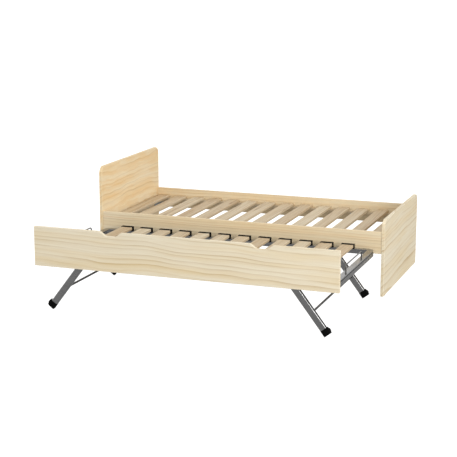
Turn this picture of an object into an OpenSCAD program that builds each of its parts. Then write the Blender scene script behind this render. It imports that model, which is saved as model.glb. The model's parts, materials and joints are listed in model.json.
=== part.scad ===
// Single bed with a pull-out trundle bed on folding legs.
// Millimetres, +Z up. Origin on the floor, at the centre of the whole footprint:
// X runs along the bed from headboard to footboard, -Y is the side the trundle pulls out to.

/* [Main bed] */
// Overall length over the head and foot boards
bed_l = 1940; // [1840:20:2140]
// Depth of the head and foot boards, front to back
bed_d = 960; // [960:10:1060]
// Height of the headboard
head_h = 715; // [600:5:900]
// Height of the footboard
foot_h = 492; // [440:2:600]
// Thickness of all pine boards
board_t = 20; // [20:1:24]
// Radius of the top corners of the head and foot boards
corner_r = 50; // [20:5:90]
// Height of the top edge of the side rails
rail_top = 415; // [410:1:430]
// Depth of the side rail boards
rail_h = 139; // [120:1:140]
// How far the side rails are set in from the ends of the boards
rail_inset = 5; // [2:1:8]
// Height of the upper face of the slats
slat_top = 366; // [355:1:380]

/* [Main bed slats] */
// Number of slats
slat_n = 14; // [12:1:14]
// Width of one slat
slat_w = 76; // [60:1:80]
// Thickness of one slat
slat_t = 18; // [15:1:20]
// Distance from one slat to the next
slat_pitch = 135.6; // [130:0.1:136]
// Left edge of the first slat
slat_x0 = -928; // [-930:1:-900]
// Side of the square ledge under the slat ends
ledge = 30; // [25:1:32]

/* [Trundle panel] */
// Length of the trundle's front panel
panel_l = 1887; // [1800:1:1890]
// Height of the trundle's front panel
panel_h = 241; // [200:1:250]
// Height of the panel's lower edge with the legs unfolded
panel_z = 270; // [270:1:280]
// Centre of the left finger notch
notch_l = -442; // [-520:1:-400]
// Centre of the right finger notch
notch_r = 489; // [400:1:520]
// Width of a finger notch at the top edge
notch_w = 152; // [100:1:180]
// Depth of a finger notch
notch_d = 27; // [15:1:35]

/* [Trundle frame] */
// Length of the steel frame
frame_l = 1824; // [1740:2:1830]
// Offset of the steel frame from the middle of the panel
frame_shift = 6; // [0:1:8]
// Gap between the steel frame and the middle plane of the footprint
frame_gap = 34; // [30:1:40]
// Height of the frame's lower edge with the legs unfolded
frame_z = 277; // [275:1:280]
// Side of the angle section
angle_s = 38; // [38:1:40]
// Wall of the angle section
angle_t = 3; // [2:0.5:3]
// Outer radius of the bent frame corners
frame_r = 45; // [45:1:60]

/* [Trundle slats] */
// Number of slats in the trundle
tslat_n = 12; // [10:1:12]
// Width of one trundle slat
tslat_w = 74; // [60:1:76]
// Distance from one trundle slat to the next
tslat_pitch = 135.6; // [130:0.1:140]
// Right edge of the first slat holder
tslat_x0 = -697; // [-705:1:-690]
// Front-to-back depth of a slat holder
holder_d = 26; // [20:1:30]

/* [Mattress stops] */
// Length of a wire stop
stop_l = 366; // [200:2:400]
// Height of a wire stop above the frame
stop_h = 56.5; // [40:0.5:70]
// Wire diameter
stop_wire = 8; // [5:0.5:8]

/* [Folding legs] */
// Angle that an unfolded leg stands out from the vertical
leg_angle = 37.5; // [30:0.5:40]
// Wide side of the leg tube
leg_w = 40; // [30:1:40]
// Narrow side of the leg tube
leg_d = 28; // [20:1:28]
// Distance from the frame's middle to a leg pivot
pivot_x = 652; // [560:1:680]
// Height of the leg pivots with the legs unfolded
pivot_z = 290; // [288:0.5:290]
// Distance from pivot to cross rod
rod_s = 195; // [150:5:240]
// Diameter of the cross rod
rod_dia = 13; // [8:1:14]
// Radius of the floor rollers
roller_r = 12; // [11:0.5:12]

/* [Hidden] */
$fn = 48;

hx = bed_l / 2;
glide_h = 5;
rail_z = rail_top - rail_h;
ry0 = rail_inset;                       // front face of the front rail
ry1 = bed_d - rail_inset;               // back face of the rear rail
in0 = ry0 + board_t;                    // inner face of the front rail
in1 = ry1 - board_t;                    // inner face of the rear rail
ledge_top = slat_top - slat_t;
ledge_z = ledge_top - ledge;
clear = 0.05;                           // radial clearance round every shank

fy0 = -960 + board_t;                   // outer face of the steel frame, behind the panel
fy1 = -frame_gap;                       // outer face of the steel frame, bed side
fx0 = frame_shift - frame_l / 2;
fx1 = frame_shift + frame_l / 2;
frame_top = frame_z + angle_s;
flange_z = frame_top - angle_t;         // underside of the flange
tslat_z = frame_top + 8;                // underside of the trundle slats
tslat_top = tslat_z + slat_t;

leg_gap = 2;                            // room between a leg and the steel on each side of it
leg_f = fy0 + angle_t + leg_gap;              // front face of a front leg
leg_b = fy1 - angle_t - leg_gap - leg_d;      // front face of a rear leg
foot_hw = leg_w / 2 + 0.5;              // half width of a foot moulding
leg_len = (pivot_z - foot_hw * sin(leg_angle)) / cos(leg_angle);
foot_s = 40;                            // height of the foot moulding below the tube's end
tube_t = 1.5;
slot_w = 14;                            // width of the open slot down a leg's outer side
roller_p = pivot_z - (pivot_z - 34) - roller_r; // roller centre from the leg's centre line
roller_w = 20;
axle_r = 2.5;
plate_y = 3;                            // thickness of a leg bracket plate

pine = [0.87, 0.79, 0.63];
pine_dark = [0.80, 0.72, 0.58];
steel = [0.50, 0.51, 0.52];
zinc = [0.72, 0.73, 0.74];
black = [0.08, 0.08, 0.08];

bracket_z = 280;
bracket_h = 34;
slat_x = [for (i = [0:slat_n - 1]) slat_x0 + i * slat_pitch];
tslat_x = [for (i = [0:tslat_n - 1]) tslat_x0 + i * tslat_pitch];
ledge_screw_x = [-860, -516, -172, 172, 516, 860];
panel_screw_x = [-846, -720, -240, 240, 720, 846];

// ---------- small helpers ----------

// board standing in the YZ plane with two rounded top corners
module end_board(x, h) {
    translate([x, 0, 0]) rotate([90, 0, 90]) linear_extrude(board_t) {
        translate([0, glide_h]) square([bed_d, h - corner_r - glide_h]);
        translate([corner_r, h - corner_r - 1]) square([bed_d - 2 * corner_r, corner_r + 1]);
        for (y = [corner_r, bed_d - corner_r]) translate([y, h - corner_r]) circle(corner_r, $fn = 64);
    }
}

// cylinder along +Y from y0 to y1
module ycyl(x, y0, y1, z, r) {
    translate([x, y0, z]) rotate([-90, 0, 0]) cylinder(r = r, h = y1 - y0);
}

// cylinder along +X from x0 to x1
module xcyl(x0, x1, y, z, r) {
    translate([x0, y, z]) rotate([0, 90, 0]) cylinder(r = r, h = x1 - x0);
}

// countersunk slat screw, head flush with z = 0, pointing down
module slat_screw(grow = 0) {
    translate([0, 0, -3]) cylinder(r1 = 2 + grow, r2 = 4 + grow, h = 3);
    translate([0, 0, -40]) cylinder(r = 2 + grow, h = 37.01);
}

module slat_screw_places() {
    for (x = slat_x, y = [in0 + 15, in1 - 15]) translate([x + slat_w / 2, y, slat_top]) children();
}

// ---------- main bed ----------

module headboard() {
    color(pine) difference() {
        end_board(-hx, head_h);
        for (y = [in0 + 20, in0 + 45, in1 - 20, in1 - 45])
            xcyl(-hx + 7, -hx + board_t + 1, y, bracket_z + bracket_h / 2, 2 + clear);
    }
}

module footboard() {
    color(pine) difference() {
        end_board(hx - board_t, foot_h);
        for (y = [in0 + 20, in0 + 45, in1 - 20, in1 - 45])
            xcyl(hx - board_t - 1, hx - 7, y, bracket_z + bracket_h / 2, 2 + clear);
    }
}

module side_rail(y, inner) {
    s = inner > y ? 1 : -1;
    difference() {
        translate([-hx + board_t, y, rail_z]) cube([bed_l - 2 * board_t, board_t, rail_h]);
        for (x = [-1, 1], d = [20, 45])
            ycyl(x * (hx - board_t - d), inner - (s > 0 ? 14 : 0) - (s > 0 ? 0 : 1), inner + (s > 0 ? 1 : 14),
                 bracket_z + bracket_h / 2, 2 + clear);
        for (x = ledge_screw_x)
            ycyl(x, inner - (s > 0 ? 14 : 1), inner + (s > 0 ? 1 : 14), ledge_z + 12, 2 + clear);
    }
}

module front_side_rail() { color(pine) side_rail(ry0, in0); }
module rear_side_rail() { color(pine) side_rail(in1, in1 - 0.001); }

module slat_ledge(y) {
    difference() {
        translate([-hx + board_t, y, ledge_z]) cube([bed_l - 2 * board_t, ledge, ledge]);
        slat_screw_places() slat_screw(clear);
        for (x = ledge_screw_x) ycyl(x, y - 1, y + ledge + 1, ledge_z + 12, 2 + clear);
    }
}

module front_slat_ledge() { color(pine) slat_ledge(in0); }
module rear_slat_ledge() { color(pine) slat_ledge(in1 - ledge); }

module main_slats() {
    color(pine_dark) difference() {
        for (x = slat_x) translate([x, in0 + 2, ledge_top]) cube([slat_w, in1 - in0 - 4, slat_t]);
        slat_screw_places() slat_screw(clear);
    }
}

module slat_screws() { color(zinc) slat_screw_places() slat_screw(); }

// round-headed wood screws that hold the ledges to the rails
module ledge_screws() {
    color(zinc) {
        for (x = ledge_screw_x) {
            ycyl(x, in0 - 13, in0 + ledge + 0.5, ledge_z + 12, 2);
            ycyl(x, in0 + ledge, in0 + ledge + 2.2, ledge_z + 12, 4);
            ycyl(x, in1 - ledge - 0.5, in1 + 13, ledge_z + 12, 2);
            ycyl(x, in1 - ledge - 2.2, in1 - ledge, ledge_z + 12, 4);
        }
    }
}

// pressed steel angle in each corner, below the ledges
module corner_bracket() {
    difference() {
        union() {
            translate([-62, 0, 0]) cube([62, 3, bracket_h]);
            translate([-3, 0, 0]) cube([3, 62, bracket_h]);
        }
        for (d = [20, 45]) {
            ycyl(-d, -1, 4, bracket_h / 2, 2.25);
            xcyl(-4, 1, d, bracket_h / 2, 2.25);
        }
    }
}

module at_corners() {
    for (mx = [0, 1], my = [0, 1])
        mirror([mx, 0, 0]) translate([hx - board_t, my == 0 ? in0 : in1, bracket_z]) mirror([0, my, 0]) children();
}

module rail_brackets() { color(zinc) at_corners() corner_bracket(); }

module bracket_screws() {
    color(zinc) at_corners() for (d = [20, 45]) {
        ycyl(-d, -13, 3.2, bracket_h / 2, 2);
        ycyl(-d, 3, 5.2, bracket_h / 2, 4);
        xcyl(-3.2, 12, d, bracket_h / 2, 2);
        xcyl(-5.2, -3, d, bracket_h / 2, 4);
    }
}

module floor_glides() {
    color(black) for (x = [-hx + board_t / 2, hx - board_t / 2], y = [60, bed_d - 60])
        translate([x, y, 0]) {
            cylinder(r1 = 7.5, r2 = 8.5, h = 2);
            translate([0, 0, 2]) cylinder(r = 8.5, h = glide_h - 2);
        }
}

// ---------- trundle ----------

// depth of a finger notch at a distance u from its middle
function notch(u) = let (w = notch_w / 2, f = 24, k = max(0, min(1, (abs(u) - f) / (w - f))))
    notch_d * (0.5 + 0.5 * cos(180 * k));

module notch_2d(c) {
    w = notch_w / 2;
    translate([c, 0]) polygon(concat(
        [for (i = [0:24]) let (u = -w + i * 2 * w / 24) [u, -notch(u)]],
        [[w, 5], [-w, 5]]));
}

module trundle_front_panel() {
    color(pine) difference() {
        translate([0, -940, 0]) rotate([90, 0, 0]) linear_extrude(board_t) difference() {
            translate([-panel_l / 2, panel_z]) square([panel_l, panel_h]);
            for (c = [notch_l, notch_r]) translate([0, panel_z + panel_h]) notch_2d(c);
        }
        for (x = panel_screw_x) ycyl(x, fy0 - 12, fy0 + 1, frame_z + 16, 2 + clear);
    }
}

// angle section: upright wall from 0 to angle_t, flange on top reaching to angle_s
module angle_2d() {
    square([angle_t, angle_s]);
    translate([0, angle_s - angle_t]) square([angle_s, angle_t]);
}

module rail_holes(y0, y1, panel) {
    for (s = [-1, 1]) ycyl(frame_shift + s * pivot_x, y0 - 1, y1 + 1, pivot_z, 4 + clear);
    if (panel) for (x = panel_screw_x) ycyl(x, y0 - 1, y1 + 1, frame_z + 16, 2.25);
}

module frame_front_rail() {
    color(steel) difference() {
        translate([fx0 + frame_r, fy0, frame_z]) rotate([90, 0, 90]) linear_extrude(frame_l - 2 * frame_r) angle_2d();
        rail_holes(fy0, fy0 + angle_t, true);
    }
}

module frame_rear_rail() {
    color(steel) difference() {
        translate([fx1 - frame_r, fy1, frame_z]) rotate([90, 0, -90]) linear_extrude(frame_l - 2 * frame_r) angle_2d();
        rail_holes(fy1 - angle_t, fy1, false);
    }
}

// one end rail with its two bent corners, for the +X end
module end_rail() {
    translate([fx1 - frame_shift, fy0 + frame_r, frame_z]) rotate([90, 0, 180])
        translate([0, 0, 0]) linear_extrude(fy1 - fy0 - 2 * frame_r) angle_2d();
    for (c = [0, 1])
        translate([fx1 - frame_shift - frame_r, c == 0 ? fy0 + frame_r : fy1 - frame_r, frame_z])
            rotate([0, 0, c == 0 ? -90 : 0]) rotate_extrude(angle = 90, $fn = 96)
                translate([frame_r, 0]) mirror([1, 0]) angle_2d();
}

module frame_right_end_rail() { color(steel) translate([frame_shift, 0, 0]) end_rail(); }
module frame_left_end_rail() { color(steel) translate([frame_shift, 0, 0]) mirror([1, 0, 0]) end_rail(); }

hold_w = tslat_w + 7;                   // right wall 4, left wall 3
slat_y1 = -60;                          // rear ends of the trundle slats
slat_y0 = fy0 + fy1 - slat_y1;          // front ends

module trundle_slats() {
    color(pine_dark) for (x = tslat_x)
        translate([x - 2 - tslat_w, slat_y0, tslat_z]) cube([tslat_w, slat_y1 - slat_y0, slat_t]);
}

// moulded holder that a slat end is pushed into; its foot stands on the flange
module slat_holder() {
    difference() {
        translate([2 - hold_w, -holder_d, frame_top]) cube([hold_w, holder_d, tslat_top + 3.5 - frame_top]);
        translate([-2 - tslat_w - 0.1, -holder_d - 1, tslat_z - 0.1]) cube([tslat_w + 0.2, holder_d - 1 + 0.1, slat_t + 0.2]);
        translate([14 - hold_w, -holder_d - 1, frame_top - 1]) cube([hold_w - 24, 12, 6]);
    }
}

module rear_slat_holders() { color(black) for (x = tslat_x) translate([x, slat_y1 + 2, 0]) slat_holder(); }
module front_slat_holders() {
    color(black) for (x = tslat_x) translate([x, slat_y0 - 2, 0]) mirror([0, 1, 0]) slat_holder();
}

// bent wire loop standing on the flange of an end rail, for the +X end; dy is its place along the rail
module wire_stop(dy) {
    r = stop_wire / 2;
    bend = 18;
    x = frame_l / 2 - angle_s / 2 + 8;
    ym = (fy0 + fy1) / 2 + dy;
    top = frame_top + stop_h - r;
    for (s = [-1, 1]) {
        translate([x, ym + s * (stop_l / 2 - r), frame_top]) cylinder(r = r, h = top - bend - frame_top);
        translate([x, ym + s * (stop_l / 2 - r - bend), top - bend]) rotate([90, 0, 90]) rotate([0, 0, s > 0 ? 0 : 90])
            rotate_extrude(angle = 90) translate([bend, 0]) circle(r);
    }
    ycyl(x, ym - stop_l / 2 + r + bend, ym + stop_l / 2 - r - bend, top, r);
}

module right_mattress_stop() { color(steel) translate([frame_shift, 0, 0]) wire_stop(-23); }
module left_mattress_stop() { color(steel) translate([frame_shift, 0, 0]) mirror([1, 0, 0]) wire_stop(24); }

module panel_screws() {
    color(zinc) for (x = panel_screw_x) {
        ycyl(x, fy0 - 11, fy0 + angle_t + 0.1, frame_z + 16, 2);
        ycyl(x, fy0 + angle_t, fy0 + angle_t + 2, frame_z + 16, 4);
    }
}

// ---------- leg pivots, on the frame ----------

// places children at each pivot: +Y points from the rail wall to the inside
module at_pivots() {
    for (s = [-1, 1], r = [0, 1])
        translate([frame_shift, r == 0 ? fy0 : fy1, 0]) mirror([s < 0 ? 1 : 0, 0, 0]) mirror([0, r, 0])
            translate([pivot_x, 0, pivot_z]) children();
}

plate_in = angle_t + 2 * leg_gap + leg_d;         // inner plate's near face, from the rail's outer face
stop_r = 4;
stop_px = 12 * sin(leg_angle) + (leg_w / 2 + stop_r + 0.1) * cos(leg_angle);
stop_pz = -12 * cos(leg_angle) + (leg_w / 2 + stop_r + 0.1) * sin(leg_angle);

module leg_bracket_plates() {
    color(steel) at_pivots() difference() {
        translate([-18, plate_in, -20]) cube([56, plate_y, flange_z - pivot_z + 20]);
        ycyl(0, plate_in - 1, plate_in + plate_y + 1, 0, 4 + clear);
        ycyl(stop_px, plate_in - 1, plate_in + plate_y + 1, stop_pz, stop_r + clear);
    }
}

module leg_stop_pins() {
    color(steel) at_pivots() ycyl(stop_px, angle_t, plate_in + plate_y + 1, stop_pz, stop_r);
}

module pivot_bolts() {
    color(zinc) at_pivots() {
        ycyl(0, 0.5, plate_in + plate_y + 8, 0, 4);
    }
}

module pivot_nuts() {
    color(zinc) at_pivots() difference() {
        translate([0, plate_in + plate_y, 0]) rotate([-90, 30, 0]) cylinder(r = 7.5, h = 6, $fn = 6);
        ycyl(0, plate_in + plate_y - 1, plate_in + plate_y + 7, 0, 4 + clear);
    }
}

module pivot_washers() {
    color(black) at_pivots() for (y = [angle_t, plate_in - leg_gap + 0.3]) difference() {
        ycyl(0, y, y + leg_gap - 0.3, 0, 11);
        ycyl(0, y - 1, y + 4, 0, 4 + clear);
    }
}

// ---------- folding legs ----------

// leg's own frame: pivot at the origin, foot along -Z, +X is the outer side, y from 0 to leg_d
module tube_2d(g) {
    r = 5 - g;
    w = leg_w - 2 * g;
    d = leg_d - 2 * g;
    translate([-w / 2 + r, g]) square([w - 2 * r, d]);
    translate([-w / 2, g + r]) square([w, d - 2 * r]);
    for (x = [-w / 2 + r, w / 2 - r], y = [g + r, g + d - r]) translate([x, y]) circle(r, $fn = 24);
}

module leg_tube() {
    difference() {
        union() {
            translate([0, 0, -leg_len + foot_s + 0.2]) linear_extrude(leg_len - foot_s - 0.2) tube_2d(0);
            intersection() {
                ycyl(0, 0, leg_d, 0, leg_w / 2);
                translate([-leg_w, 0, 0]) cube([2 * leg_w, leg_d, leg_w]);
            }
        }
        translate([0, 0, -leg_len]) linear_extrude(leg_len + 12) tube_2d(tube_t);
        translate([leg_w / 2 - 6, (leg_d - slot_w) / 2, -leg_len]) cube([12, slot_w, leg_len - 24]);
        ycyl(0, -1, leg_d + 1, 0, 4 + clear);
    }
}

module boot_2d() {
    r = 4;
    translate([-foot_hw + r, -1]) square([2 * foot_hw - 2 * r, leg_d + 2]);
    translate([-foot_hw, -1 + r]) square([2 * foot_hw, leg_d + 2 - 2 * r]);
    for (x = [-foot_hw + r, foot_hw - r], y = [-1 + r, leg_d + 1 - r]) translate([x, y]) circle(r, $fn = 24);
}

// moulded foot: a boot below the tube's end, a plug inside the tube, and a pocket on the outer side for the roller
module foot_moulding() {
    e = -leg_len;
    ym = leg_d / 2;
    difference() {
        union() {
            translate([0, 0, e]) linear_extrude(foot_s) boot_2d();
            translate([0, 0, e + foot_s - 1]) linear_extrude(26) tube_2d(tube_t + 0.3);
            for (s = [0, foot_s - 9.5]) translate([roller_p, ym, e + s]) cylinder(r = 8, h = 9.5);
        }
        translate([roller_p - roller_r - 1.5, 1, e + 9.5]) cube([40, leg_d - 2, foot_s - 19]);
        translate([roller_p, ym, e + 1]) cylinder(r = axle_r + 0.02, h = foot_s);
    }
}

module roller_axle() {
    translate([roller_p, leg_d / 2, -leg_len + 1]) cylinder(r = axle_r, h = foot_s - 1);
}

module roller() {
    translate([roller_p, leg_d / 2, -leg_len + foot_s / 2 - roller_w / 2]) rotate_extrude($fn = 64)
        polygon([[axle_r + 0.06, 0], [roller_r - 2.5, 0], [roller_r - 0.7, 0.8], [roller_r, 2.5],
                 [roller_r, roller_w - 2.5], [roller_r - 0.7, roller_w - 0.8], [roller_r - 2.5, roller_w],
                 [axle_r + 0.06, roller_w]]);
}

// places a leg's own frame at a pivot: s is the end (-1 left, 1 right), y the leg's front face
module at_leg(s, y) {
    translate([frame_shift, y, 0]) mirror([s < 0 ? 1 : 0, 0, 0])
        translate([pivot_x, 0, pivot_z]) rotate([0, -leg_angle, 0]) children();
}

module cross_rod(s) {
    at_leg(s, leg_f + leg_d) ycyl(0, 0, leg_b - leg_f - leg_d, -rod_s, rod_dia / 2);
}

module left_front_leg() { color(steel) at_leg(-1, leg_f) leg_tube(); }
module left_rear_leg() { color(steel) at_leg(-1, leg_b) leg_tube(); }
module right_front_leg() { color(steel) at_leg(1, leg_f) leg_tube(); }
module right_rear_leg() { color(steel) at_leg(1, leg_b) leg_tube(); }
module left_cross_rod() { color(steel) cross_rod(-1); }
module right_cross_rod() { color(steel) cross_rod(1); }
module left_foot_mouldings() { color(black) for (y = [leg_f, leg_b]) at_leg(-1, y) foot_moulding(); }
module right_foot_mouldings() { color(black) for (y = [leg_f, leg_b]) at_leg(1, y) foot_moulding(); }
module left_roller_axles() { color(zinc) for (y = [leg_f, leg_b]) at_leg(-1, y) roller_axle(); }
module right_roller_axles() { color(zinc) for (y = [leg_f, leg_b]) at_leg(1, y) roller_axle(); }
module left_front_roller() { color(black) at_leg(-1, leg_f) roller(); }
module left_rear_roller() { color(black) at_leg(-1, leg_b) roller(); }
module right_front_roller() { color(black) at_leg(1, leg_f) roller(); }
module right_rear_roller() { color(black) at_leg(1, leg_b) roller(); }

headboard();
footboard();
front_side_rail();
rear_side_rail();
front_slat_ledge();
rear_slat_ledge();
main_slats();
slat_screws();
ledge_screws();
rail_brackets();
bracket_screws();
floor_glides();
trundle_front_panel();
frame_front_rail();
frame_rear_rail();
frame_left_end_rail();
frame_right_end_rail();
trundle_slats();
front_slat_holders();
rear_slat_holders();
left_mattress_stop();
right_mattress_stop();
panel_screws();
leg_bracket_plates();
leg_stop_pins();
pivot_bolts();
pivot_nuts();
pivot_washers();
left_front_leg();
left_rear_leg();
left_cross_rod();
left_foot_mouldings();
left_roller_axles();
right_front_leg();
right_rear_leg();
right_cross_rod();
right_foot_mouldings();
right_roller_axles();
left_front_roller();
left_rear_roller();
right_front_roller();
right_rear_roller();
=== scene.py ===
import json
import math
import random

import bmesh
import bpy
from mathutils import Matrix, Vector


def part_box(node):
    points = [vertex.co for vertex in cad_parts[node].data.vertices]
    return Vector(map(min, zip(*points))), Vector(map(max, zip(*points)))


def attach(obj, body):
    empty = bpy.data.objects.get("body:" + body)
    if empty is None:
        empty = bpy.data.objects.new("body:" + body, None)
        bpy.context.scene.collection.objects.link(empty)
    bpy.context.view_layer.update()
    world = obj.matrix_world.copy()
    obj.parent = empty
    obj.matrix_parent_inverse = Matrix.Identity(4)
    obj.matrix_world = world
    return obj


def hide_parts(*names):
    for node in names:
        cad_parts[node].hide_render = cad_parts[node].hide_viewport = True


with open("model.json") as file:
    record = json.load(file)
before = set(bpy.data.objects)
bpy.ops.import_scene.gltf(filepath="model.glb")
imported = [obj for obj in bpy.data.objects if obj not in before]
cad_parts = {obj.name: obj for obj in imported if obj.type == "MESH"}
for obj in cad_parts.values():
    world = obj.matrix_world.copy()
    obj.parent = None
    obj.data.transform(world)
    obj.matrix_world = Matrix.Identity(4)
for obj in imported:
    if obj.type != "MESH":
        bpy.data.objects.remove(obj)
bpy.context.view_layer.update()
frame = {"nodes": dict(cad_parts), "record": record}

scene = bpy.context.scene
scene.view_settings.view_transform = "Standard"
scene.view_settings.look = "None"
rng = random.Random(41)
MM = 0.001


def srgb(r, g, b):
    def f(c):
        c /= 255
        return c / 12.92 if c <= 0.04045 else ((c + 0.055) / 1.055) ** 2.4
    return (f(r), f(g), f(b), 1.0)


# ---------------------------------------------------------------- materials

class Tree:
    """A material's node tree, built by calls."""

    def __init__(self, name):
        self.mat = bpy.data.materials.new(name)
        self.mat.use_nodes = True
        self.nt = self.mat.node_tree
        self.nt.nodes.clear()

    def node(self, kind, inputs=None, **props):
        n = self.nt.nodes.new(kind)
        for k, v in props.items():
            setattr(n, k, v)
        for k, v in (inputs or {}).items():
            self.put(n.inputs[k], v)
        return n

    def put(self, socket, v):
        if isinstance(v, bpy.types.NodeSocket):
            self.nt.links.new(v, socket)
        else:
            socket.default_value = v

    def math(self, op, a, b=0.0, c=None, clamp=False):
        n = self.nt.nodes.new("ShaderNodeMath")
        n.operation = op
        n.use_clamp = clamp
        self.put(n.inputs[0], a)
        self.put(n.inputs[1], b)
        if c is not None:
            self.put(n.inputs[2], c)
        return n.outputs[0]

    def vmath(self, op, a, b=(0, 0, 0)):
        n = self.nt.nodes.new("ShaderNodeVectorMath")
        n.operation = op
        self.put(n.inputs[0], a)
        self.put(n.inputs[1], b)
        return n.outputs[0]

    def noise(self, vec, scale, detail=2.0, rough=0.5, distortion=0.0):
        n = self.node("ShaderNodeTexNoise", {"Vector": vec, "Scale": scale, "Detail": detail,
                                             "Roughness": rough, "Distortion": distortion})
        return n.outputs

    def remap(self, v, a, b, c, d):
        n = self.node("ShaderNodeMapRange", {"Value": v, "From Min": a, "From Max": b, "To Min": c, "To Max": d})
        return n.outputs[0]

    def mix(self, fac, a, b, blend="MIX"):
        n = self.nt.nodes.new("ShaderNodeMix")
        n.data_type = "RGBA"
        n.blend_type = blend
        self.put(n.inputs["Factor"], fac)
        self.put(n.inputs[6], a)
        self.put(n.inputs[7], b)
        return n.outputs[2]

    def ramp(self, fac, stops, interp="EASE"):
        n = self.nt.nodes.new("ShaderNodeValToRGB")
        n.color_ramp.interpolation = interp
        els = n.color_ramp.elements
        while len(els) < len(stops):
            els.new(0.5)
        for e, (p, c) in zip(els, stops):
            e.position = p
            e.color = c
        self.put(n.inputs[0], fac)
        return n.outputs[0]

    def finish(self, colour, rough, height, distance, strength=1.0, **shader):
        bump = self.node("ShaderNodeBump", {"Height": height, "Distance": distance, "Strength": strength})
        b = self.nt.nodes.new("ShaderNodeBsdfPrincipled")
        self.put(b.inputs["Base Color"], colour)
        self.put(b.inputs["Roughness"], rough)
        self.nt.links.new(bump.outputs[0], b.inputs["Normal"])
        for k, v in shader.items():
            b.inputs[k.replace("_", " ")].default_value = v
        out = self.nt.nodes.new("ShaderNodeOutputMaterial")
        self.nt.links.new(b.outputs[0], out.inputs[0])
        return self.mat


def grey(v):
    return (v, v, v, 1.0)


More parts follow.
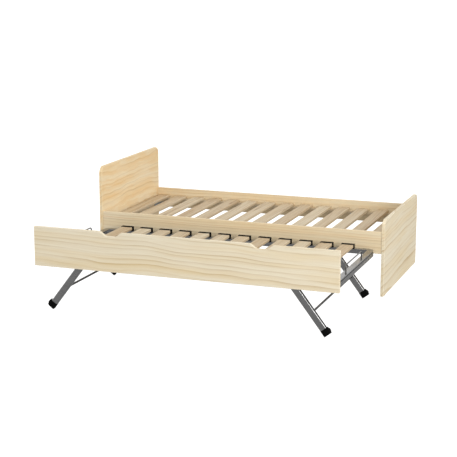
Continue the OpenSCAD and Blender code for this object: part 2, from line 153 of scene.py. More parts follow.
def pine(name, early, late, resin, spacing, warp=0.05, line=1.0, blotch=0.6, rough=0.52, sub=5.0, wide=0.85, glow=0.5, pale=srgb(240, 232, 210)):
    """Solid pine. The mesh attribute "gco" holds the place in the log: x along the fibres, y and z across, pith at y = z = 0."""
    t = Tree(name)
    g = t.node("ShaderNodeAttribute", attribute_name="gco").outputs["Vector"]
    # slow wander of the pith along the log, which gives the flame figure on flat-sawn faces
    slow = t.vmath("MULTIPLY", g, (wide, 1.6, 1.6))
    n1 = t.noise(slow, 1.3, 2.5, 0.5)["Color"]
    n1 = t.vmath("MULTIPLY", t.vmath("SUBTRACT", n1, (0.5, 0.5, 0.5)), (0.0, warp * 2, warp * 2))
    mid = t.vmath("MULTIPLY", g, (2.6, 11.0, 11.0))
    n2 = t.noise(mid, 1.0, 2.0, 0.55)["Color"]
    n2 = t.vmath("MULTIPLY", t.vmath("SUBTRACT", n2, (0.5, 0.5, 0.5)), (0.0, 0.010, 0.010))
    p = t.vmath("ADD", t.vmath("ADD", g, n1), n2)
    flat = t.vmath("MULTIPLY", p, (0.0, 1.0, 1.0))
    length = t.nt.nodes.new("ShaderNodeVectorMath")
    length.operation = "LENGTH"
    t.nt.links.new(flat, length.inputs[0])
    rings = t.math("DIVIDE", length.outputs["Value"], spacing)
    wander = t.node("ShaderNodeTexNoise", {"W": rings, "Scale": 0.37, "Detail": 1.0}, noise_dimensions="1D").outputs[0]
    rings = t.math("ADD", rings, t.math("MULTIPLY", wander, 1.6))
    phase = t.math("FRACT", rings)
    index = t.math("FLOOR", rings)
    lot = t.node("ShaderNodeTexWhiteNoise", {"W": index}, noise_dimensions="1D").outputs
    # pale spring wood, then a soft rise to the thin darker summer wood
    band = t.ramp(phase, [(0.0, grey(0.06)), (0.10, grey(0.0)), (0.50, grey(0.10)), (0.78, grey(0.42)),
                          (0.90, grey(1.0)), (0.96, grey(0.78)), (1.0, grey(0.10))])
    weight = t.remap(t.math("POWER", lot["Value"], 1.6), 0.0, 1.0, 0.16 * line, 1.15 * line)
    orange = t.math("MULTIPLY", t.math("GREATER_THAN", t.node("ShaderNodeSeparateColor", {0: lot["Color"]}).outputs[1], 0.86), band)
    fade = t.remap(t.noise(t.vmath("MULTIPLY", g, (2.2, 14.0, 14.0)), 1.0, 2.0)[0], 0.34, 0.66, 0.25, 1.0)
    band = t.math("MULTIPLY", t.math("MULTIPLY", band, weight), fade)
    # the single year rings between the strong ones
    small = t.math("FRACT", t.math("MULTIPLY", rings, sub))
    small = t.ramp(small, [(0.0, grey(0.1)), (0.12, grey(0.0)), (0.60, grey(0.20)), (0.88, grey(1.0)), (1.0, grey(0.15))])
    fade2 = t.remap(t.noise(t.vmath("MULTIPLY", g, (1.2, 30.0, 30.0)), 1.0, 2.0)[0], 0.3, 0.7, 0.15, 1.0)
    band = t.math("ADD", band, t.math("MULTIPLY", t.math("MULTIPLY", small, fade2), 0.30 * line), clamp=True)
    # fibres
    streak = t.noise(t.vmath("MULTIPLY", g, (5.0, 190.0, 190.0)), 1.0, 3.0, 0.6)[0]
    fine = t.noise(t.vmath("MULTIPLY", g, (22.0, 900.0, 900.0)), 1.0, 2.0, 0.6)[0]
    mottle = t.noise(t.vmath("MULTIPLY", g, (1.4, 7.0, 7.0)), 1.0, 3.0, 0.5)[0]
    col = t.mix(band, early, late)
    broad = t.noise(t.vmath("ADD", t.vmath("MULTIPLY", p, (1.1, 20.0, 20.0)), (3.0, 1.0, 7.0)), 1.0, 3.0, 0.6)[0]
    warm = t.math("MULTIPLY", t.remap(mottle, 0.42, 0.72, 0.0, blotch), t.remap(band, 0.0, 1.0, 0.45, 1.0), clamp=True)
    warm = t.math("ADD", warm, t.remap(broad, 0.45, 0.75, 0.0, 0.9 * blotch), clamp=True)
    col = t.mix(warm, col, resin)
    col = t.mix(t.remap(broad, 0.50, 0.25, 0.0, 0.5), col, pale)
    col = t.mix(t.math("MULTIPLY", t.math("MULTIPLY", orange, fade), glow), col, srgb(222, 170, 104))
    col = t.mix(t.remap(streak, 0.30, 0.72, 0.0, 0.30), col, t.mix(0.5, col, late))
    canals = t.math("GREATER_THAN", fine, 0.665)
    col = t.mix(t.math("MULTIPLY", canals, 0.16), col, late)
    tone = t.node("ShaderNodeAttribute", attribute_name="tone").outputs["Fac"]
    col = t.mix(t.math("MULTIPLY", tone, 0.5, clamp=True), col, t.mix(1.0, col, srgb(214, 190, 158), "MULTIPLY"))
    wear = t.node("ShaderNodeAttribute", attribute_name="wear").outputs["Fac"]
    rub = t.noise(t.vmath("MULTIPLY", g, (9.0, 60.0, 60.0)), 1.0, 3.0)[0]
    rub = t.math("MULTIPLY", wear, t.remap(rub, 0.35, 0.65, 0.15, 0.60), clamp=True)
    col = t.mix(rub, col, early)
    r = t.math("ADD", t.remap(streak, 0.3, 0.7, rough - 0.05, rough + 0.07), t.math("MULTIPLY", band, -0.07))
    h = t.math("ADD", t.math("MULTIPLY", fine, 0.55), t.math("ADD", t.math("MULTIPLY", streak, 0.35),
                                                              t.math("MULTIPLY", band, 0.35)))
    return t.finish(col, r, h, 0.00022, 0.55, Specular_IOR_Level=0.42)


def powder(name, base, light, rough=0.36):
    """Metallic grey coat on steel: fine orange peel, faint mottling, edges rubbed lighter, and painted shade: faces
    marked -1, the groove sides under the top flange, are darkened to near black.
    """
    t = Tree(name)
    o = t.node("ShaderNodeTexCoord").outputs["Object"]
    peel = t.noise(o, 620.0, 2.0, 0.5)[0]
    cells = t.node("ShaderNodeTexVoronoi", {"Vector": o, "Scale": 900.0}).outputs["Distance"]
    cloud = t.noise(o, 9.0, 4.0, 0.55)[0]
    scuff = t.noise(t.vmath("MULTIPLY", o, (26.0, 26.0, 90.0)), 1.0, 4.0, 0.65)[0]
    col = t.mix(t.remap(cloud, 0.3, 0.7, 0.0, 0.5), base, light)
    wear = t.node("ShaderNodeAttribute", attribute_name="wear").outputs["Fac"]
    rub = t.math("MULTIPLY", wear, t.remap(scuff, 0.48, 0.66, 0.0, 0.75), clamp=True)
    col = t.mix(rub, col, srgb(168, 168, 166))
    # painted shade: faces marked -1, the groove sides under the rail's top flange, are darkened towards near black to
    # stand for the shade in the groove
    col = t.mix(t.math("MULTIPLY", wear, -0.9, clamp=True), col, srgb(30, 30, 30))
    r = t.math("ADD", t.remap(cloud, 0.3, 0.7, rough - 0.04, rough + 0.05), t.remap(scuff, 0.45, 0.7, 0.0, 0.10))
    h = t.math("ADD", peel, t.math("MULTIPLY", cells, 0.4))
    return t.finish(col, r, h, 0.00002, 0.35, Metallic=1.0)


def zinc(name):
    t = Tree(name)
    o = t.node("ShaderNodeTexCoord").outputs["Object"]
    spangle = t.node("ShaderNodeTexVoronoi", {"Vector": o, "Scale": 420.0}).outputs["Color"]
    spangle = t.node("ShaderNodeSeparateColor", {0: spangle}).outputs[0]
    cloud = t.noise(o, 60.0, 4.0, 0.6)[0]
    lines = t.noise(t.vmath("MULTIPLY", o, (300.0, 300.0, 2600.0)), 1.0, 2.0)[0]
    col = t.mix(t.remap(cloud, 0.35, 0.7, 0.0, 0.6), srgb(205, 208, 210), srgb(168, 172, 172))
    r = t.math("ADD", t.remap(spangle, 0, 1, 0.24, 0.34), t.remap(cloud, 0.3, 0.7, 0.0, 0.10))
    return t.finish(col, r, t.math("ADD", lines, spangle), 0.00003, 0.5, Metallic=1.0)


def plastic(name, base, light, rough=0.42):
    t = Tree(name)
    o = t.node("ShaderNodeTexCoord").outputs["Object"]
    grain = t.node("ShaderNodeTexVoronoi", {"Vector": o, "Scale": 1500.0}, feature="SMOOTH_F1").outputs["Distance"]
    cloud = t.noise(o, 34.0, 3.0, 0.55)[0]
    wear = t.node("ShaderNodeAttribute", attribute_name="wear").outputs["Fac"]
    rub = t.math("MULTIPLY", wear, t.remap(cloud, 0.42, 0.62, 0.0, 0.6), clamp=True)
    col = t.mix(t.remap(cloud, 0.3, 0.7, 0.0, 0.7), base, light)
    col = t.mix(rub, col, srgb(44, 43, 42))
    r = t.remap(cloud, 0.3, 0.7, rough - 0.05, rough + 0.09)
    return t.finish(col, r, grain, 0.00006, 0.7, Specular_IOR_Level=0.04)


M = {
    "front": pine("pine_panel", srgb(238, 227, 202), srgb(190, 162, 114), srgb(232, 210, 164), 0.026, 0.046, 1.25, 0.55, sub=5.0, wide=1.0),
    "board": pine("pine_board", srgb(240, 221, 184), srgb(192, 158, 106), srgb(232, 194, 134), 0.030, 0.060, 1.0, 0.80, sub=6.0, wide=1.7, glow=0.9),
    "rail": pine("pine_rail", srgb(236, 220, 187), srgb(186, 156, 112), srgb(228, 199, 152), 0.016, 0.020, 1.15, 0.45, sub=4.0),
    "slat": pine("pine_slat", srgb(222, 207, 178), srgb(168, 142, 108), srgb(204, 178, 142), 0.012, 0.030, 1.3, 0.45, 0.6, sub=3.0, glow=0.6),
    "steel": powder("grey_steel_coat", srgb(150, 150, 150), srgb(158, 158, 158), 0.24),
    "rod": powder("dark_steel_rod", srgb(84, 84, 83), srgb(94, 94, 93), 0.30),
    "wire": powder("steel_wire", srgb(112, 112, 111), srgb(124, 124, 123), 0.26),
    "zinc": zinc("zinc_plated"),
    "plastic": plastic("moulded_black", srgb(9, 9, 9), srgb(15, 15, 15), 0.62),
    "tyre": plastic("roller_rubber", srgb(11, 11, 12), srgb(20, 20, 20), 0.64),
}
BODY = {n: b for b, ns in frame["record"]["behaviour"]["bodies"].items() for n in ns}


# ---------------------------------------------------------------- mesh tools

def fresh():
    bm = bmesh.new()
    bm.faces.layers.float.new("wear")
    return bm


def ease(bm, width, segs=3, angle=25.0, edges=None):
    """Rounds the sharp edges and marks the rounded faces as worn edges (value 1)."""
    bm.normal_update()
    if edges is None:
        edges = [e for e in bm.edges if len(e.link_faces) == 2 and e.calc_face_angle(0) > math.radians(angle)]
    out = bmesh.ops.bevel(bm, geom=edges, offset=width, offset_type="OFFSET", segments=segs, profile=0.5,
                          affect="EDGES", clamp_overlap=True)
    lay = bm.faces.layers.float["wear"]
    for f in out["faces"]:
        f[lay] = 1.0
    return bm


def box_bm(lo, hi, width=0.002, segs=3):
    bm = fresh()
    lo, hi = Vector(lo), Vector(hi)
    bmesh.ops.create_cube(bm, size=1.0, matrix=Matrix.Translation((lo + hi) / 2) @ Matrix.Diagonal((*(hi - lo), 1.0)))
    return ease(bm, width, segs)


def slab_bm(points, place, depth, width=0.0025, segs=3):
    """Board with the outline points (2D); place(u, v, d) gives the 3D point, d from 0 to depth."""
    bm = fresh()
    a = [bm.verts.new(place(u, v, 0.0)) for u, v in points]
    b = [bm.verts.new(place(u, v, depth)) for u, v in points]
    bm.faces.new(a)
    bm.faces.new(b[::-1])
    n = len(points)
    for i in range(n):
        bm.faces.new((a[i], b[i], b[(i + 1) % n], a[(i + 1) % n]))
    bmesh.ops.recalc_face_normals(bm, faces=bm.faces)
    bm.normal_update()
    cap = set(a) | set(b)
    edges = [e for e in bm.edges if e.calc_face_angle(0) > math.radians(25)]
    return ease(bm, width, segs, edges=edges)


def lathe_bm(profile, at, axis=(0, 0, 1), segs=32):
    """Turned solid: profile is (radius, height) from one end to the other, closed on the axis where the radius is 0."""
    bm = fresh()
    rot = Vector((0, 0, 1)).rotation_difference(Vector(axis)).to_matrix().to_4x4()
    m = Matrix.Translation(Vector(at)) @ rot
    rings = []
    for r, z in profile:
        if r < 1e-7:
            rings.append([bm.verts.new(m @ Vector((0, 0, z)))])
        else:
            rings.append([bm.verts.new(m @ Vector((r * math.cos(2 * math.pi * k / segs),
                                                   r * math.sin(2 * math.pi * k / segs), z))) for k in range(segs)])
    for a, b in zip(rings, rings[1:]):
        for k in range(segs):
            q = (k + 1) % segs
            if len(a) == 1 and len(b) == 1:
                continue
            if len(a) == 1:
                bm.faces.new((a[0], b[k], b[q]))
            elif len(b) == 1:
                bm.faces.new((a[k], a[q], b[0]))
            else:
                bm.faces.new((a[k], a[q], b[q], b[k]))
    if len(rings[0]) > 1 and len(rings[-1]) > 1 and profile[0] == profile[-1]:
        bmesh.ops.remove_doubles(bm, verts=bm.verts, dist=1e-7)
    bmesh.ops.recalc_face_normals(bm, faces=bm.faces)
    return bm


def sweep_bm(stations, profile, dark=()):
    """Section profile (u, z) carried along stations (point, inward direction); dark names the profile's groove sides,
    which are marked -1 for painted shade.
    """
    bm = fresh()
    lay = bm.faces.layers.float["wear"]
    rings = [[bm.verts.new(Vector(p) + Vector(n) * u + Vector((0, 0, z))) for u, z in profile] for p, n in stations]
    for a, b in zip(rings, rings[1:]):
        for k in range(len(profile)):
            q = (k + 1) % len(profile)
            # groove sides are marked -1, which the steel coat paints as shade
            bm.faces.new((a[k], a[q], b[q], b[k]))[lay] = -1.0 if k in dark else 0.0
    bm.faces.new(rings[0])
    bm.faces.new(rings[-1][::-1])
    bmesh.ops.recalc_face_normals(bm, faces=bm.faces)
    return bm


def tube_bm(path, radius, segs=20):
    """Round bar along a path of points."""
    bm = fresh()
    path = [Vector(p) for p in path]
    tang = [(path[min(i + 1, len(path) - 1)] - path[max(i - 1, 0)]).normalized() for i in range(len(path))]
    side = tang[0].orthogonal().normalized()
    rings = []
    for i, p in enumerate(path):
        if i:
            side = tang[i - 1].rotation_difference(tang[i]) @ side
        side = (side - tang[i] * side.dot(tang[i])).normalized()
        other = tang[i].cross(side)
        rings.append([bm.verts.new(p + (side * math.cos(2 * math.pi * k / segs) + other * math.sin(2 * math.pi * k / segs)) * radius)
                      for k in range(segs)])
    for a, b in zip(rings, rings[1:]):
        for k in range(segs):
            q = (k + 1) % segs
            bm.faces.new((a[k], a[q], b[q], b[k]))
    bm.faces.new(rings[0])
    bm.faces.new(rings[-1][::-1])
    bmesh.ops.recalc_face_normals(bm, faces=bm.faces)
    return bm


def cad_bm(node):
    """A working copy of a CAD node's mesh, welded and with its flat faces whole."""
    bm = fresh()
    bm.from_mesh(frame["nodes"][node].data)
    if "wear" not in bm.faces.layers.float:
        bm.faces.layers.float.new("wear")
    bmesh.ops.remove_doubles(bm, verts=bm.verts, dist=2e-6)
    bmesh.ops.dissolve_limit(bm, angle_limit=math.radians(0.6), verts=bm.verts, edges=bm.edges)
    return bm


def solids(node):
    """The separate solids of a CAD node, as lists of points."""
    bm = bmesh.new()
    bm.from_mesh(frame["nodes"][node].data)
    bmesh.ops.remove_doubles(bm, verts=bm.verts, dist=2e-6)
    seen, out = set(), []
    for v in bm.verts:
        if v in seen:
            continue
        stack, got = [v], []
        seen.add(v)
        while stack:
            a = stack.pop()
            got.append(a.co.copy())
            for e in a.link_edges:
                b = e.other_vert(a)
                if b not in seen:
                    seen.add(b)
                    stack.append(b)
        out.append(got)
    bm.free()
    return sorted(out, key=lambda q: tuple(round(min(p[i] for p in q), 4) for i in range(3)))


def span(points):
    return (Vector([min(p[i] for p in points) for i in range(3)]), Vector([max(p[i] for p in points) for i in range(3)]))


class Piece:
    """Collects parts into one mesh object that stands for CAD nodes."""

    def __init__(self, name, mat, *nodes, body=None):
        self.name, self.mat, self.nodes = name, mat, nodes
        self.body = body or BODY[nodes[0]]
        self.v, self.f, self.wear, self.gco, self.tone = [], [], [], [], []

    def add(self, bm, grain=None, tone=0.0):
        base = len(self.v)
        lay = bm.faces.layers.float["wear"]
        for i, v in enumerate(bm.verts):
            v.index = i
            self.v.append(tuple(v.co))
            self.gco.append(tuple(grain(v.co)) if grain else (0.0, 0.0, 0.0))
            self.tone.append(tone)
        for f in bm.faces:
            self.f.append([base + v.index for v in f.verts])
            self.wear.append(f[lay])
        bm.free()
        return self

    def build(self, angle=38.0, weighted=True):
        me = bpy.data.meshes.new(self.name)
        me.from_pydata(self.v, [], self.f)
        me.validate()
        me.update()
        a = me.attributes.new("wear", "FLOAT", "FACE")
        if len(a.data) == len(self.wear):
            a.data.foreach_set("value", self.wear)
        if self.mat in ("front", "board", "rail", "slat"):
            g = me.attributes.new("gco", "FLOAT_VECTOR", "POINT")
            g.data.foreach_set("vector", [c for q in self.gco for c in q])
            t = me.attributes.new("tone", "FLOAT", "POINT")
            t.data.foreach_set("value", self.tone)
        me.shade_smooth()
        me.set_sharp_from_angle(angle=math.radians(angle))
        me.materials.append(M[self.mat])
        ob = bpy.data.objects.new(self.name, me)
        scene.collection.objects.link(ob)
        if weighted:
            w = ob.modifiers.new("normals", "WEIGHTED_NORMAL")
            w.keep_sharp = True
        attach(ob, self.body)
        if self.nodes:
            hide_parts(*self.nodes)
        return ob


def log(along, across, through, origin, l0=0.0, w0=0.0, t0=0.08, slope=0.0, tilt=0.0):
    """Place in the log for points of a board: origin is a point on the board, w0 and t0 the pith's distance."""
    o = Vector(origin)

    def f(p):
        d = p - o
        l, w, t = d[along], d[across], d[through]
        return Vector((l + l0, w + w0 + tilt * l, t + t0 + slope * l))
    return f


def rounded_outline(w0, w1, h0, h1, r, segs=14):
    """Outline with two rounded top corners, anticlockwise from the lower left."""
    pts = [(w0, h0), (w1, h0)]
    for k in range(segs + 1):
        a = math.pi / 2 * k / segs
        pts.append((w1 - r + r * math.cos(a), h1 - r + r * math.sin(a)))
    for k in range(segs + 1):
        a = math.pi / 2 + math.pi / 2 * k / segs
        pts.append((w0 + r + r * math.cos(a), h1 - r + r * math.sin(a)))
    return pts


# ---------------------------------------------------------------- camera, light, floor

cam_data = bpy.data.cameras.new("camera")
cam_data.sensor_width = 36.0
cam_data.lens = 1289.8356 * 36.0 / 457.0
cam = bpy.data.objects.new("camera", cam_data)
scene.collection.objects.link(cam)
cam.location = (2.71866, -7.62472, 2.14322)
cam.rotation_euler = (math.radians(90 - 12.36135), 0.0, math.radians(19.99859))
scene.camera = cam

world = bpy.data.worlds.new("studio")
scene.world = world
world.use_nodes = True
wt = world.node_tree
wt.nodes.clear()
w_co = wt.nodes.new("ShaderNodeTexCoord")
w_sep = wt.nodes.new("ShaderNodeSeparateXYZ")
wt.links.new(w_co.outputs["Generated"], w_sep.inputs[0])
w_ramp = wt.nodes.new("ShaderNodeValToRGB")
w_half = wt.nodes.new("ShaderNodeMath")
w_half.operation = "MULTIPLY_ADD"
w_half.inputs[1].default_value = 0.5
w_half.inputs[2].default_value = 0.5
wt.links.new(w_sep.outputs["Z"], w_half.inputs[0])
w_stops = [(0.0, (0.34, 0.34, 0.34, 1.0)), (0.46, (0.42, 0.42, 0.42, 1.0)), (0.51, (0.98, 0.98, 0.98, 1.0)), (0.9, (0.87, 0.87, 0.865, 1.0))]
while len(w_ramp.color_ramp.elements) < len(w_stops):
    w_ramp.color_ramp.elements.new(0.5)
for w_el, (w_pos, w_col) in zip(w_ramp.color_ramp.elements, w_stops):
    w_el.position = w_pos
    w_el.color = w_col
wt.links.new(w_half.outputs[0], w_ramp.inputs[0])
w_bg = wt.nodes.new("ShaderNodeBackground")
w_bg.inputs["Strength"].default_value = 1.0
wt.links.new(w_ramp.outputs[0], w_bg.inputs["Color"])
w_out = wt.nodes.new("ShaderNodeOutputWorld")
wt.links.new(w_bg.outputs[0], w_out.inputs[0])


def area(name, at, look, size, power, colour=(1, 1, 1)):
    d = bpy.data.lights.new(name, "AREA")
    d.shape = "RECTANGLE"
    d.size, d.size_y = size
    d.energy = power
    d.color = colour
    o = bpy.data.objects.new(name, d)
    o.location = at
    o.rotation_euler = (Vector(look) - Vector(at)).to_track_quat("-Z", "Y").to_euler()
    scene.collection.objects.link(o)
    return o


area("key", (6.0, -5.0, 2.3), (0.2, -0.3, 0.3), (3.6, 2.8), 290.0, (1.0, 0.99, 0.975))
area("fill", (-4.5, -5.0, 2.6), (0.0, 0.0, 0.3), (3.0, 2.4), 20.0, (0.98, 0.99, 1.0))

floor_me = bpy.data.meshes.new("floor")
floor_me.from_pydata([(-90, -90, 0), (90, -90, 0), (90, 90, 0), (-90, 90, 0)], [], [(0, 1, 2, 3)])
floor = bpy.data.objects.new("floor", floor_me)
scene.collection.objects.link(floor)
ft = Tree("studio_floor")
f_o = ft.node("ShaderNodeTexCoord").outputs["Object"]
f_n = ft.noise(f_o, 3.0, 3.0)[0]
f_col = ft.mix(ft.remap(f_n, 0.3, 0.7, 0.0, 1.0), srgb(146, 146, 146), srgb(152, 152, 151))
ft.finish(f_col, 0.8, f_n, 0.0002, 0.2, Specular_IOR_Level=0.1, Emission_Color=(1.0, 1.0, 1.0, 1.0), Emission_Strength=1.0)
floor_me.materials.append(ft.mat)
floor.visible_diffuse = False
floor.visible_glossy = False


# ---------------------------------------------------------------- main bed

def end_board(node, seed):
    lo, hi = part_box(node)
    pts = rounded_outline(lo.y, hi.y, lo.z, hi.z, 0.050)
    bm = slab_bm(pts, lambda u, v, d: Vector((lo.x + d, u, v)), hi.x - lo.x, 0.0024, 4)
    return bm, lo, hi


bm, lo, hi = end_board("headboard", 1)
Piece("headboard_board", "board", "headboard").add(
    bm, log(1, 2, 0, (hi.x, 0.48, 0.40), 3.1, 0.09, -0.090, 0.050, 0.0)).build()
bm, lo, hi = end_board("footboard", 2)
Piece("footboard_board", "front", "footboard").add(
    bm, log(1, 2, 0, (hi.x, 0.48, 0.20), 11.7, 0.20, -0.120, -0.040, -0.06)).build()

for node, l0, w0, t0, sl in (("front_side_rail", 21.3, 0.20, 0.10, 0.010), ("rear_side_rail", 33.9, 0.16, 0.09, -0.012)):
    lo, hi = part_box(node)
    Piece(node + "_board", "rail", node).add(
        box_bm(lo, hi, 0.0020, 4), log(0, 2, 1, (0, lo.y, (lo.z + hi.z) / 2), l0, w0, t0, sl)).build()

for node, l0 in (("front_slat_ledge", 51.0), ("rear_slat_ledge", 57.0)):
    lo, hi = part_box(node)
    Piece(node + "_strip", "slat", node).add(
        box_bm(lo, hi, 0.0015, 3), log(0, 2, 1, lo, l0, 0.03, 0.06, 0.004), 0.3).build()


def slat_set(name, node, l_base):
    piece = Piece(name, "slat", node)
    for i, pts in enumerate(solids(node)):
        lo, hi = span(pts)
        sign = 1 if rng.random() < 0.5 else -1
        g = log(1, 0, 2, ((lo.x + hi.x) / 2, (lo.y + hi.y) / 2, hi.z), l_base + 7.3 * i,
                rng.uniform(-0.05, 0.05), sign * rng.uniform(0.02, 0.10), rng.uniform(-0.02, 0.02), rng.uniform(-0.01, 0.01))
        piece.add(box_bm(lo, hi, 0.0022, 3), g, rng.random())
    return piece.build()


slat_set("main_slat_boards", "main_slats", 80.0)


# ---------------------------------------------------------------- screws

def screw_bm(head, tip, head_r, shank_r, dome):
    """Wood screw from its head's outer face to its tip, with a cross recess. dome 0 is a flush countersunk head."""
    head, tip = Vector(head), Vector(tip)
    axis = (tip - head)
    length = axis.length
    rot = Vector((0, 0, -1)).rotation_difference(axis.normalized()).to_matrix().to_4x4()
    m = Matrix.Translation(head) @ rot
    bm = fresh()
    n = 24

    def ring(r, z):
        return [bm.verts.new(m @ Vector((r * math.cos(2 * math.pi * k / n), r * math.sin(2 * math.pi * k / n), z))) for k in range(n)]

    def join(a, b):
        for k in range(n):
            q = (k + 1) % n
            bm.faces.new((a[k], a[q], b[q], b[k]))

    if dome > 0:
        prof = [(head_r * 0.56, 0.0), (head_r * 0.80, -dome * 0.14), (head_r * 0.95, -dome * 0.42), (head_r, -dome * 0.75),
                (head_r, -dome), (shank_r, -dome)]
    else:
        prof = [(head_r * 0.62, 0.0), (head_r * 0.97, 0.0), (head_r, -0.0003), (shank_r, -0.0031)]
    z0 = prof[-1][1]
    # a shallow thread, then the point
    z, k = z0 - 0.004, 0
    prof.append((shank_r, z))
    while z > -length + 0.006:
        prof.append((shank_r * 0.74, z - 0.0006))
        prof.append((shank_r, z - 0.0016))
        z -= 0.0024
    prof.append((shank_r * 0.70, -length + 0.004))
    rings = [ring(r, zz) for r, zz in prof]
    for a, b in zip(rings, rings[1:]):
        join(a, b)
    end = bm.verts.new(m @ Vector((0, 0, -length)))
    for k in range(n):
        bm.faces.new((rings[-1][k], rings[-1][(k + 1) % n], end))
    # cross recess
    a, b = head_r * 0.42, head_r * 0.12
    plus = [(a, -b), (a, b), (b, b), (b, a), (-b, a), (-b, b), (-a, b), (-a, -b), (-b, -b), (-b, -a), (b, -a), (b, -b)]
    top = [bm.verts.new(m @ Vector((x, y, 0.0))) for x, y in plus]
    low = [bm.verts.new(m @ Vector((x * 0.62, y * 0.62, -min(head_r * 0.45, 0.0018)))) for x, y in plus]
    p = len(plus)
    for k in range(p):
        bm.faces.new((top[k], top[(k + 1) % p], low[(k + 1) % p], low[k]))
    bm.faces.new(low)
    inner = [bm.edges.new((top[k], top[(k + 1) % p])) if bm.edges.get((top[k], top[(k + 1) % p])) is None
             else bm.edges.get((top[k], top[(k + 1) % p])) for k in range(p)]
    outer = [bm.edges.get((rings[0][k], rings[0][(k + 1) % n])) for k in range(n)]
    bmesh.ops.triangle_fill(bm, edges=inner + outer, use_beauty=True)
    bmesh.ops.recalc_face_normals(bm, faces=bm.faces)
    return bm


def screw_set(name, node, head_r, shank_r, flush=False):
    piece = Piece(name, "zinc", node)
    for pts in solids(node):
        lo, hi = span(pts)
        size = hi - lo
        ax = max(range(3), key=lambda i: size[i])
        mid = (lo + hi) / 2
        wide = [p for p in pts if math.hypot(*[p[i] - mid[i] for i in range(3) if i != ax]) > shank_r * 1.3]
        at_hi = sum(p[ax] for p in wide) / len(wide) > mid[ax]
        head, tip = mid.copy(), mid.copy()
        head[ax] = hi[ax] if at_hi else lo[ax]
        tip[ax] = lo[ax] if at_hi else hi[ax]
        piece.add(screw_bm(head, tip, head_r, shank_r, 0.0 if flush else 0.0022))
    return piece.build(30, False)


screw_set("slat_screw_set", "slat_screws", 0.004, 0.002, True)
screw_set("ledge_screw_set", "ledge_screws", 0.004, 0.002)
screw_set("bracket_screw_set", "bracket_screws", 0.004, 0.002)
screw_set("panel_screw_set", "panel_screws", 0.004, 0.002)


def refined(name, mat, node, width, segs=2, angle=30.0, **kw):
    """The CAD node's own shape with eased edges."""
    bm = cad_bm(node)
    if width > 0:
        ease(bm, width, segs, angle)
    return Piece(name, mat, node).add(bm).build(kw.get("sharp", 35.0), kw.get("weighted", True))


refined("corner_brackets", "zinc", "rail_brackets", 0.0006)

glides = Piece("floor_glide_set", "plastic", "floor_glides")
for pts in solids("floor_glides"):
    lo, hi = span(pts)
    c = (lo + hi) / 2
    r, h = (hi.x - lo.x) / 2, hi.z - lo.z
    glides.add(lathe_bm([(0, 0), (r * 0.30, 0), (r * 0.34, 0.0006), (r * 0.80, 0.0006), (r * 0.86, 0.0001), (r * 0.95, 0.0008),
                         (r, 0.0022), (r, h), (0, h)], (c.x, c.y, lo.z), (0, 0, 1), 40))
glides.build(40)

# ---------------------------------------------------------------- trundle: panel and slats

lo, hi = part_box("trundle_front_panel")
NOTCH = [(-0.442, 0.152, 0.027, 0.024), (0.489, 0.152, 0.027, 0.024)]


def notch_depth(x):
    for c, w, d, f in NOTCH:
        u, w = abs(x - c), w / 2
        if u < w:
            k = max(0.0, (u - f) / (w - f))
            return d * (0.5 + 0.5 * math.cos(math.pi * k))
    return 0.0


xs = [lo.x, hi.x]
for c, w, d, f in NOTCH:
    xs += [c - w / 2 + w * k / 48 for k in range(49)]
xs = sorted(xs, reverse=True)
outline = [(lo.x, lo.z), (hi.x, lo.z)] + [(x, hi.z - notch_depth(x)) for x in xs]
bm = slab_bm(outline, lambda u, v, d: Vector((u, lo.y + d, v)), hi.y - lo.y, 0.0024, 4)
Piece("trundle_panel_board", "front", "trundle_front_panel").add(
    bm, log(0, 2, 1, (0, lo.y, (lo.z + hi.z) / 2), 63.4, 0.21, 0.100, 0.015, 0.018)).build()

slat_set("trundle_slat_boards", "trundle_slats", 240.0)
refined("front_slat_caps", "plastic", "front_slat_holders", 0.0009, 2)
refined("rear_slat_caps", "plastic", "rear_slat_holders", 0.0009, 2)

# ---------------------------------------------------------------- trundle: steel frame

flo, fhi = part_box("frame_front_rail")
rlo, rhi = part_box("frame_rear_rail")
llo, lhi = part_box("frame_left_end_rail")
elo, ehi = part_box("frame_right_end_rail")
H, W3 = fhi.z - flo.z, 0.003


def arc(cx, cz, r, a0, a1, n):
    return [(cx + r * math.cos(math.radians(a0 + (a1 - a0) * k / n)), cz + r * math.sin(math.radians(a0 + (a1 - a0) * k / n)))
            for k in range(n + 1)]


# rolled angle section: u inwards from the outer face, z up
SECTION = (arc(0.0011, 0.0011, 0.0011, 180, 270, 3) + arc(W3 - 0.0011, 0.0011, 0.0011, 270, 360, 3)
           + arc(W3 + 0.0022, H - W3 - 0.0022, 0.0022, 180, 90, 5)
           + arc(H - 0.0011, H - W3 + 0.0011, 0.0011, 270, 360, 3) + arc(H - 0.0011, H - 0.0011, 0.0011, 0, 90, 3)
           + arc(0.0032, H - 0.0032, 0.0032, 90, 180, 6)
           + [(0.0, H - 0.0050), (0.0020, H - 0.0058), (0.0020, H - 0.0112), (0.0, H - 0.0120)])
# the groove's three sides, marked for painted shade (near black) in the steel coat
SHADED_GROOVE_SIDES = {len(SECTION) - 4, len(SECTION) - 3, len(SECTION) - 2}

Piece("front_angle_rail", "steel", "frame_front_rail").add(sweep_bm(
    [((flo.x, flo.y, flo.z), (0, 1, 0)), ((fhi.x, flo.y, flo.z), (0, 1, 0))], SECTION, SHADED_GROOVE_SIDES)).build(40)
Piece("rear_angle_rail", "steel", "frame_rear_rail").add(sweep_bm(
    [((rlo.x, rhi.y, rlo.z), (0, -1, 0)), ((rhi.x, rhi.y, rlo.z), (0, -1, 0))], SECTION, SHADED_GROOVE_SIDES)).build(40)


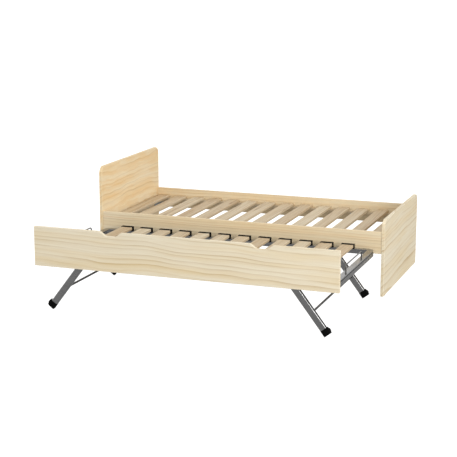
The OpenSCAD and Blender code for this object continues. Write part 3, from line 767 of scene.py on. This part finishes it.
def end_rail(name, node, s):
    a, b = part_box(node)
    x = b.x if s > 0 else a.x
    r = 0.045
    cx = x - s * r
    st = []
    n = 14
    for k in range(n + 1):
        t = math.pi / 2 * k / n
        d = Vector((s * math.sin(t), -math.cos(t), 0))
        st.append(((cx + d.x * r, a.y + r + d.y * r, a.z), -d))
    for k in range(n + 1):
        t = math.pi / 2 * k / n
        d = Vector((s * math.cos(t), math.sin(t), 0))
        st.append(((cx + d.x * r, b.y - r + d.y * r, a.z), -d))
    return Piece(name, "steel", node).add(sweep_bm(st, SECTION, SHADED_GROOVE_SIDES)).build(40)


end_rail("right_end_angle", "frame_right_end_rail", 1)
end_rail("left_end_angle", "frame_left_end_rail", -1)


def wire_stop(name, node):
    a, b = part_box(node)
    r = (b.x - a.x) / 2
    x = (a.x + b.x) / 2
    bend = 0.018
    y0, y1, top = a.y + r, b.y - r, b.z - r
    path = [(x, y0, a.z), (x, y0, a.z + 0.006), (x, y0, top - bend)]
    path += [(x, y0 + bend - bend * math.cos(math.pi / 2 * k / 10), top - bend + bend * math.sin(math.pi / 2 * k / 10)) for k in range(1, 11)]
    path += [(x, y1 - bend + bend * math.sin(math.pi / 2 * k / 10), top - bend + bend * math.cos(math.pi / 2 * k / 10)) for k in range(0, 11)]
    path += [(x, y1, a.z + 0.006), (x, y1, a.z)]
    p = Piece(name, "wire", node).add(tube_bm(path, r, 20))
    for y in (y0, y1):
        p.add(weld_bm((x, y, a.z + 0.0002), (0, 0, 1), r))
    return p.build(40, False)


def weld_bm(at, axis, r, out=0.0022, seed=0):
    """Fillet weld round a bar where it meets a plate."""
    q = random.Random(int(abs(at[0] * 7919 + at[1] * 104729)) + seed)
    prof = [(r * 0.9, 0.0), (r + out, 0.0), (r + out * 0.92, out * 0.35), (r + out * 0.55, out * 0.75), (r + out * 0.15, out * 1.15),
            (r * 0.9, out * 1.2), (r * 0.9, 0.0)]
    bm = lathe_bm(prof, at, axis, 28)
    c = Vector(at)
    for v in bm.verts:
        d = v.co - c
        v.co = c + d * (1.0 + q.uniform(-0.018, 0.018))
    return bm


wire_stop("left_wire_stop", "left_mattress_stop")
wire_stop("right_wire_stop", "right_mattress_stop")

refined("leg_brackets", "steel", "leg_bracket_plates", 0.0006)
refined("stop_pins", "zinc", "leg_stop_pins", 0.0005)
refined("pivot_bolt_set", "zinc", "pivot_bolts", 0.0008)
refined("pivot_nut_set", "zinc", "pivot_nuts", 0.0007)
refined("washer_set", "plastic", "pivot_washers", 0.0004)

# ---------------------------------------------------------------- folding legs

for side in ("left", "right"):
    s = -1 if side == "left" else 1
    for row in ("front", "rear"):
        refined(f"{side}_{row}_leg_tube", "steel", f"{side}_{row}_leg", 0.0004, 2)
    a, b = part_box(f"{side}_cross_rod")
    r = (b.x - a.x) / 2
    cx, cz = (a.x + b.x) / 2, (a.z + b.z) / 2
    rod = Piece(f"{side}_leg_rod", "rod", f"{side}_cross_rod")
    rod.add(lathe_bm([(0, 0), (r, 0), (r, b.y - a.y), (0, b.y - a.y)], (cx, a.y, cz), (0, 1, 0), 28))
    rod.add(weld_bm((cx, a.y + 0.0001, cz), (0, 1, 0), r, 0.003, 3))
    rod.add(weld_bm((cx, b.y - 0.0001, cz), (0, -1, 0), r, 0.003, 5))
    rod.build(40, False)
    refined(f"{side}_feet", "plastic", f"{side}_foot_mouldings", 0.0008, 2)
    refined(f"{side}_axles", "zinc", f"{side}_roller_axles", 0.0006, 2)
    for row in ("front", "rear"):
        refined(f"{side}_{row}_floor_roller", "tyre", f"{side}_{row}_roller", 0.0005, 2)
